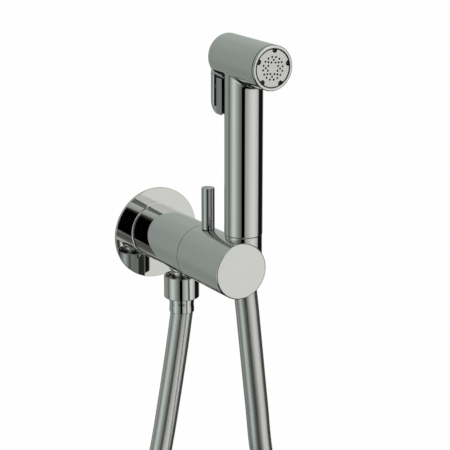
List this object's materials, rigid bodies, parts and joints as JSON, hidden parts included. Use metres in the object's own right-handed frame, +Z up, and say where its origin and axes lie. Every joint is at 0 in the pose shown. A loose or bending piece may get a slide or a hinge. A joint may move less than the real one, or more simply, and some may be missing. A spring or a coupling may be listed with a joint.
{
  "type": "bidet shower mixer",
  "caption": "Wall mixer for a bidet shower: ring handle with a pin lever, hose outlet below, and a trigger hand shower standing in a holder at the front.",
  "frame": {"origin": "centre of the body's rear face, on the wall plane behind the rosette", "axes": "+Y goes into the wall, the body runs out along -Y, +Z is up and +X is to the right as seen from the front"},
  "size_m": [0.2792, 0.1353, 0.6699],
  "materials": {
    "chrome_plate": "polished chrome plate",
    "spray_steel": "satin stainless steel",
    "hose_skin": "smooth silver-grey plastic",
    "brass": "machined brass",
    "ceramic": "lapped ceramic",
    "white_plastic": "moulded white plastic",
    "black_plastic": "moulded black plastic",
    "black_rubber": "rubber",
    "plain_steel": "plain stainless steel"
  },
  "bodies": {
    "mixer_body": {"rosette": "chrome_plate", "valve_body": "chrome_plate", "inlet_strainers": "plain_steel", "check_valves": "white_plastic", "port_seals": "black_rubber", "cartridge_housing": "white_plastic", "fixed_disc": "ceramic", "spindle_seal": "black_rubber", "cartridge_nut": "brass", "neck_tube": "brass", "front_block": "chrome_plate", "block_screw": "plain_steel", "end_cap": "chrome_plate", "holder_liner": "black_plastic", "outlet_nipple": "chrome_plate", "nipple_seal": "black_rubber", "nut_washer": "black_rubber", "hose_nut": "chrome_plate", "outlet_tail": "brass", "outlet_ferrule": "chrome_plate", "hose": "hose_skin"},
    "handle": {"handle_ring": "chrome_plate", "lever": "chrome_plate", "ring_bushes": "white_plastic", "drive_hub": "brass", "hub_screw": "plain_steel", "spindle": "brass", "moving_disc": "ceramic"},
    "hand_shower": {"handset_tube": "chrome_plate", "handset_ferrule": "chrome_plate", "handset_tail": "brass", "tail_seal": "black_rubber", "water_tube": "white_plastic", "valve_housing": "white_plastic", "stem_seal": "black_rubber", "riser_tube": "white_plastic", "head_shell": "chrome_plate", "spray_carrier": "black_plastic", "carrier_seal": "black_rubber", "spray_plate": "spray_steel"},
    "squeeze_lever": {"trigger": "chrome_plate", "pivot_pin": "plain_steel", "trigger_spring": "plain_steel"},
    "valve": {"valve_stem": "plain_steel", "valve_pad": "black_rubber"}
  },
  "joints": [
    {"name": "handle_turn", "type": "hinge", "parent": "mixer_body", "child": "handle", "pos_m": [0, -0.074, 0], "axis": [0, -1, 0], "range_deg": [0, 90]},
    {"name": "hand_shower_lift", "type": "slide", "parent": "mixer_body", "child": "hand_shower", "axis": [0, 0, 1], "range_m": [0, 0.06]},
    {"name": "trigger_squeeze", "type": "hinge", "parent": "hand_shower", "child": "squeeze_lever", "pos_m": [0.0102, -0.0849, 0.1172], "axis": [-1, 0, 0], "range_deg": [0, 7], "stiffness_Nm_per_rad": 0.8, "springref_deg": -5.73},
    {"name": "valve_push", "type": "slide", "parent": "hand_shower", "child": "valve", "axis": [0, -1, 0], "range_m": [0, 0.0012]}
  ],
  "couplings": [
    {"joint": "valve_push", "follows": "trigger_squeeze", "m_per_rad": 0.0095}
  ]
}
